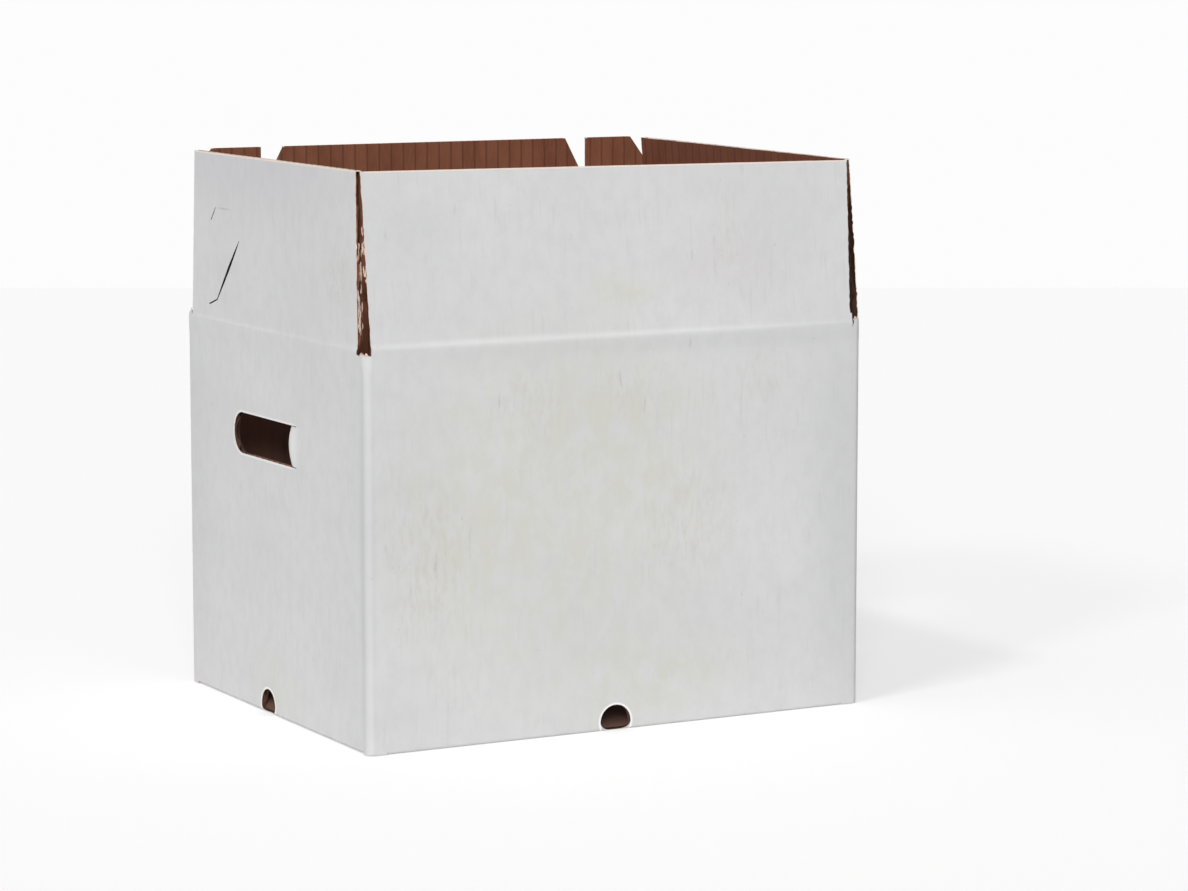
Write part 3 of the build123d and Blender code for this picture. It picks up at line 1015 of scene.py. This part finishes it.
def hole_highlights(tree, colour):
    """White paper with painted highlight where a tab bends and along the rims of hand holes and vents."""
    radius = hole_height / 2
    straight = (hole_length - radius) / 2
    for side in hole_walls:
        hinge = hole_hinge(side)
        # painted highlight where the tab bends in from the wall
        stripe = patch_mask(tree, (hinge + side * tab_highlight_from, hole_middle), tab_highlight_size, 0.9)
        for cut, ends in ((hole_middle - radius, (0, 1)), (hole_middle + radius, (1, 0))):
            stripe = times(tree, stripe, fade(tree, "Y", cut - 1, cut + 1, *ends))
        # painted highlight along the rim of the hand hole
        rim = rim_mask(tree, (hinge + side * straight, hole_middle), straight, radius)
        low, high = sorted((hinge, hinge + side * rim_hinge_fade))
        off_hinge = fade(tree, "X", low, high, *((1, 0) if side < 0 else (0, 1)))
        colour = coated(tree, colour, (stripe, PAINTED_HIGHLIGHT), (times(tree, rim, off_hinge), PAINTED_HIGHLIGHT))
    for wall, place in vents:
        # painted highlight around the vent
        rim = rim_mask(tree, (along_wall(wall, place), vent_rise), 0.0, vent_radius)
        colour = mix(tree, rim, colour, RIM_HIGHLIGHT)
    return colour


def cut_shade_and_torn_corner(tree, colour, share=None):
    """Painted shade in the dark cuts and grey at the torn back corner, through a mask if one is given."""
    marks = [(place, (size, size), 0.9, CUT_SHADE_BROWN) for place, size in dark_cuts]
    marks.append((back_corner, back_corner_size, 1.0, GREY))
    for place, size, strength, tint in marks:
        mask = patch_mask(tree, place, size, strength)
        colour = mix(tree, times(tree, mask, share) if share else mask, colour, tint)
    return colour


def white_liner(tree):
    """White top paper: mottled, with short dashes along the flutes, specks, stain marks, painted shade and
    painted highlight.
    """
    clouds = ramp(tree, noise(tree, (0.011, 0.014, 0.0)), 0.3, 0.7)
    mottle = ramp(tree, noise(tree, (0.11, 0.075, 0.0), 5.0, 0.65), 0.35, 0.72, 0.0, 0.34)
    dashes = ramp(tree, noise(tree, (0.42, 0.035, 0.0), 2.0), 0.55, 0.72, 0.0, 0.3)
    dash_fields = ramp(tree, noise(tree, (0.02, 0.025, 0.0), 2.0), 0.42, 0.62)
    specks = ramp(tree, noise(tree, (0.25, 0.2, 0.0), 2.0), 0.72, 0.8, 0.0, 0.35)
    colour = mix(tree, clouds, PAPER, BRIGHT_PAPER)
    colour = coated(tree, colour, (mottle, MOTTLE), (times(tree, dashes, dash_fields), FAINT_DASH),
                    (specks, SPECK))
    colour = hole_highlights(tree, stains_and_painted_light(tree, colour))
    return colour, noise(tree, (0.7, 0.3, 0.0), 4.0, 0.6), 0.25, 0.12


def kraft_liner(tree):
    """Brown paper: flute lines show through it as thin dark lines. It is paler and greyer lower down, with
    painted shade at the bottom, along the right flap's front edge and in the dark cuts.
    """
    blotches = ramp(tree, noise(tree, (0.06, 0.02, 0.3), 4.0, 0.6), 0.3, 0.7)
    fibres = ramp(tree, noise(tree, (0.9, 0.12, 0.3)), 0.4, 0.75, 0.0, 0.3)
    lines = wave_lines(tree, 0.9, 0.995, 0.5)
    # paler and greyer lower down
    paler_low = fade(tree, "Y", 150.0, 215.0, 0.55, 0.0)
    # painted shade, darker towards the bottom
    deep = fade(tree, "Y", -10.0, 30.0, 0.8, 0.0)
    shaded = patch_mask(tree, (along_wall(RIGHT, 0.0), 330.0), (190.0, 130.0), 0.35)
    # painted shade along the right flap's front edge
    slot_shade = patch_mask(tree, slot_shade_place, (10.0, 190.0), 0.85)
    between = fade(tree, "Z", board - liner, board - liner / 2, 1.0, 0.0)
    colour = mix(tree, blotches, BROWN_PAPER, TAN_PAPER)
    colour = coated(tree, colour, (fibres, FIBRE), (lines, FLUTE_LINE), (paler_low, LOW_PALE_BROWN), (deep, BOTTOM_SHADE_BROWN),
                    (shaded, SHADE), (slot_shade, SLOT_SHADE_BROWN))
    return cut_shade_and_torn_corner(tree, colour, between), wave_lines(tree, 0.0, 1.0, 1.0), 0.3, 0.25


def liner_rim(tree):
    """Torn and pressed paper edges, paler than the brown paper; cream at the top edges, partly their own
    colour and partly painted highlight.
    """
    grain = ramp(tree, noise(tree, (0.35, 0.35, 0.8)), 0.35, 0.65)
    corner = patch_mask(tree, back_corner, back_corner_size, 1.0)
    # cream at the top edges, partly painted highlight
    top = fade(tree, "Y", 316.0, 324.0, 0.0, 0.8)
    colour = coated(tree, mix(tree, grain, PRESSED, LIGHT_PRESSED), (corner, GREY), (top, TOP_EDGE_CREAM_AND_HIGHLIGHT))
    return colour, noise(tree, (1.5, 1.5, 1.5)), 0.4, 0.2


def cut_board(tree):
    """Cut faces of the fluted paper, streaked along the flutes, with painted shade along the right flap's
    front edge and in the dark cuts.
    """
    grain = ramp(tree, noise(tree, (1.2, 0.12, 1.6), 4.0), 0.35, 0.72)
    # painted shade along the right flap's front edge
    slot_shade = patch_mask(tree, slot_shade_place, (20.0, 190.0), 0.85)
    colour = mix(tree, slot_shade, mix(tree, grain, CUT_BROWN, CUT_TAN), SLOT_SHADE_BROWN)
    return cut_shade_and_torn_corner(tree, colour), noise(tree, (1.5, 0.4, 1.5)), 0.5, 0.25


skins = [paper_material(white_liner, 0.62, 0.25), paper_material(kraft_liner, 0.8, 0.2),
         paper_material(liner_rim, 0.85, 0.15), paper_material(cut_board, 0.9, 0.1)]
left_front, left_back = end_edges(*left_edge_insets, end_free_inset)
right_front, right_back = end_edges(*right_edge_insets, end_flap_inset)

carton_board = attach(carton(skins), "carton")
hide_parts("carton_body")
outlines = {
    "front": front_outline(long_flap_low, long_flap_low, long_flap_high, long_flap_high, front_wear),
    "back": back_outline(),
    "left": end_outline("left", left_front, left_back, 0.0, left_wear),
    "right": end_outline("right", right_front, right_back, right_top_drop, right_wear),
}

left_edge = edge_line("left", -1, left_front)
right_edge = edge_line("right", 1, right_front)
front_edge = edge_line("front", 1, front_liner_reach[:2])

# Torn fibres: edge, heights above the crease, side, count, reach, skin
fibres = {
    "left": [(left_edge, (6, 64), 1, 40, 0.8, RIM), (left_edge, (6, 85), 1, 20, 0.8, CUT)],
    "front": [(front_edge, (34, 62), -1, 9, 0.3, RIM)],
    "right": [(right_edge, (14, 84), -1, 22, 0.8, CUT)],
}
top_edges = {
    "front": [((long_flap_low, flap_depth), (long_flap_high, flap_depth - front_top_drop))],
    "back": [((start, flap_depth), (end, flap_depth)) for start, end in
             ((-ear_end, -ear_side), (-tongue_side, tongue_side), (ear_side, ear_end))],
    "left": [((-left_back[1], end_flap_depth), (-left_front[1], end_flap_depth))],
    "right": [((right_front[1], end_flap_depth - right_top_drop), (right_back[1], end_flap_depth))],
}
liner_outlines = {"front": front_outline(*front_liner_reach, front_liner_wear)}

# Ends of the crease strips: at the wall, then at the flap
strip_ends = {
    "front": (front_liner_reach[0], long_flap_high) * 2,
    "back": (long_flap_low, long_flap_high) * 2,
    "left": (-left_back[0], -left_front[0], -at_strip_top(left_back), -at_strip_top(left_front)),
    "right": (-half_width + right_front_inset, right_back[0],
              at_strip_top(right_front), at_strip_top(right_back)),
}
for name, loops in outlines.items():
    torn = fibres.get(name, ())
    flap_piece = flap_board(name, loops, skins, top_edges[name], torn, liner_outlines.get(name))
    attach(flap_piece, f"{name}_flap")
    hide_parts(f"{name}_flap")
    strip = crease_strip(name, strip_ends[name], skins)
    hinge = Vector(flaps[name].hinge) * MM
    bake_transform(strip)

# Floor, camera and light
sky_share = 0.37
sky_tilt = 0.35  # how much brighter the sky is on the left, and darker on the right
sky_shown = 0.98  # to the camera
floor_white = (0.90, 0.90, 0.90, 1)
floor_glow = 1.73
floor_glow_share = 0.25  # of what the camera sees of the floor
floor_near = 4.0
floor_far = 5.04
floor_side = 6.0
yaw = 28.497
pitch = 7.551
camera_place = Vector((-1.0772, -2.0785, 0.4619))
forward = Vector((math.sin(math.radians(yaw)), math.cos(math.radians(yaw)), 0))
sideways = Vector((forward.y, -forward.x, 0))
ground = Vector((camera_place.x, camera_place.y, 0))

camera_data = bpy.data.cameras.new("camera")
camera_data.lens = 118.20
camera_data.clip_start = 0.05
camera = add_object("camera", camera_data)
camera.location = camera_place
camera.rotation_euler = (math.radians(90 - pitch), 0, math.radians(-yaw))
bpy.context.scene.camera = camera


def floor_material():
    """Pale floor whose shadow shows only in part to the camera."""
    material = bpy.data.materials.new("floor")
    material.use_nodes = True
    tree = material.node_tree
    tree.nodes.clear()
    diffuse = add_node(tree, "BsdfDiffuse", {"Color": floor_white})
    glow = add_node(tree, "Emission", {"Strength": floor_glow})
    seen = add_node(tree, "LightPath").outputs["Is Camera Ray"]
    share = add_node(tree, "Math", {0: seen, 1: floor_glow_share}, operation="MULTIPLY")
    inputs = {0: share.outputs[0], 1: diffuse.outputs[0], 2: glow.outputs[0]}
    blend = add_node(tree, "MixShader", inputs)
    add_node(tree, "OutputMaterial", {"Surface": blend.outputs[0]})
    return material


def floor():
    near = ground - forward * floor_near
    far = ground + forward * floor_far
    side = sideways * floor_side
    corners = [near - side, near + side, far + side, far - side]
    mesh = bpy.data.meshes.new("floor")
    mesh.from_pydata([tuple(c) for c in corners], [], [(0, 1, 2, 3)])
    mesh.materials.append(floor_material())
    add_object("floor", mesh)


def sky():
    """White to the camera; dimmer as a light, and darker on the right."""
    world = bpy.data.worlds.new("studio")
    bpy.context.scene.world = world
    world.use_nodes = True
    tree = world.node_tree
    direction = add_node(tree, "TexCoord").outputs["Generated"]
    parts = add_node(tree, "SeparateXYZ", {0: direction})
    light = add_node(tree, "MapRange", {
        "Value": parts.outputs["X"], "From Min": -1.0,
        "To Min": sky_share * (1 + sky_tilt), "To Max": sky_share * (1 - sky_tilt),
    })
    seen = add_node(tree, "LightPath").outputs["Is Camera Ray"]
    strength = add_node(tree, "MapRange", {
        "Value": seen, "To Min": light.outputs["Result"], "To Max": sky_shown,
    })
    fill(tree, tree.nodes["Background"], {"Color": (1, 1, 1, 1), "Strength": strength.outputs["Result"]})


def lamp(name, plan, climb, spread, share):
    """Even soft light from a plan direction and a climb: a sheet facing it shows a share of its colour."""
    data = bpy.data.lights.new(name, "SUN")
    data.angle = math.radians(spread)
    data.energy = share * math.pi
    obj = add_object(name, data)
    aim = Vector((*plan, math.tan(math.radians(climb)))).normalized()
    obj.location = aim * 2
    obj.rotation_euler = aim.to_track_quat("Z", "Y").to_euler()


floor()
sky()
lamp("key_high", (-0.957, -0.29), 60, 6, 0.12)
lamp("key_low", (-0.89, -0.455), 34, 9, 0.135)
lamp("fill", (-forward.x, -forward.y), 25, 20, 0.51)

bpy.context.scene.view_settings.view_transform = "Standard"
